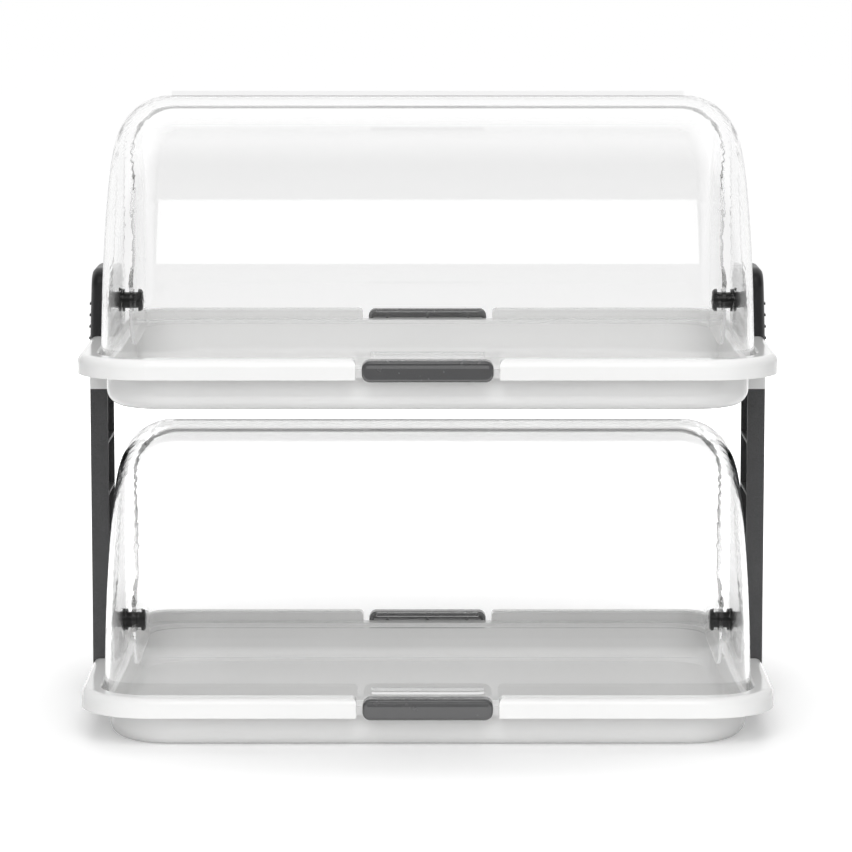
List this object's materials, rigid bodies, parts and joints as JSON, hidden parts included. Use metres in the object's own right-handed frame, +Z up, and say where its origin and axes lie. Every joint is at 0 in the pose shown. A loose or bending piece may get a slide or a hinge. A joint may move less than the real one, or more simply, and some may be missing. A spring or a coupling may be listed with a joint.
{
  "type": "countertop bread display bin",
  "caption": "Free-standing tiered bread display bin: white trays on dark side posts, each covered by clear roll-top hoods that turn up from the front and from the rear.",
  "frame": {"origin": "centre of the underside, on the surface that the bin stands on", "axes": "+Z up, +X along the trays to the right as seen from the front, the front faces -Y"},
  "size_m": [0.4414, 0.32, 0.4051],
  "materials": {
    "tray": "glossy white moulded plastic",
    "clear_sheet": "clear moulded plastic",
    "post": "fine-grained dark grey plastic",
    "cap": "fine-grained near-black plastic",
    "grip": "satin dark grey plastic",
    "pivot": "satin near-black plastic"
  },
  "bodies": {
    "stand": {"lower_tray": "tray", "lower_front_grip": "grip", "lower_rear_grip": "grip", "lower_left_pivot_bush": "pivot", "lower_left_pivot_pin": "pivot", "lower_right_pivot_bush": "pivot", "lower_right_pivot_pin": "pivot", "upper_tray": "tray", "upper_front_grip": "grip", "upper_rear_grip": "grip", "upper_left_pivot_bush": "pivot", "upper_left_pivot_pin": "pivot", "upper_right_pivot_bush": "pivot", "upper_right_pivot_pin": "pivot", "left_post": "post", "left_post_cap": "cap", "right_post": "post", "right_post_cap": "cap"},
    "lower_front_hood": {"lower_front_hood": "clear_sheet"},
    "lower_rear_hood": {"lower_rear_hood": "clear_sheet"},
    "upper_front_hood": {"upper_front_hood": "clear_sheet"},
    "upper_rear_hood": {"upper_rear_hood": "clear_sheet"}
  },
  "joints": [
    {"name": "lower_front_hood_turn", "type": "hinge", "parent": "stand", "child": "lower_front_hood", "pos_m": [0, 0, 0.0555], "axis": [-1, 0, 0], "range_deg": [0, 94]},
    {"name": "lower_rear_hood_turn", "type": "hinge", "parent": "stand", "child": "lower_rear_hood", "pos_m": [0, 0, 0.0555], "axis": [-1, 0, 0], "range_deg": [-94, 0]},
    {"name": "upper_front_hood_turn", "type": "hinge", "parent": "stand", "child": "upper_front_hood", "pos_m": [0, 0, 0.2685], "axis": [-1, 0, 0], "range_deg": [0, 94]},
    {"name": "upper_rear_hood_turn", "type": "hinge", "parent": "stand", "child": "upper_rear_hood", "pos_m": [0, 0, 0.2685], "axis": [-1, 0, 0], "range_deg": [-94, 0]}
  ]
}
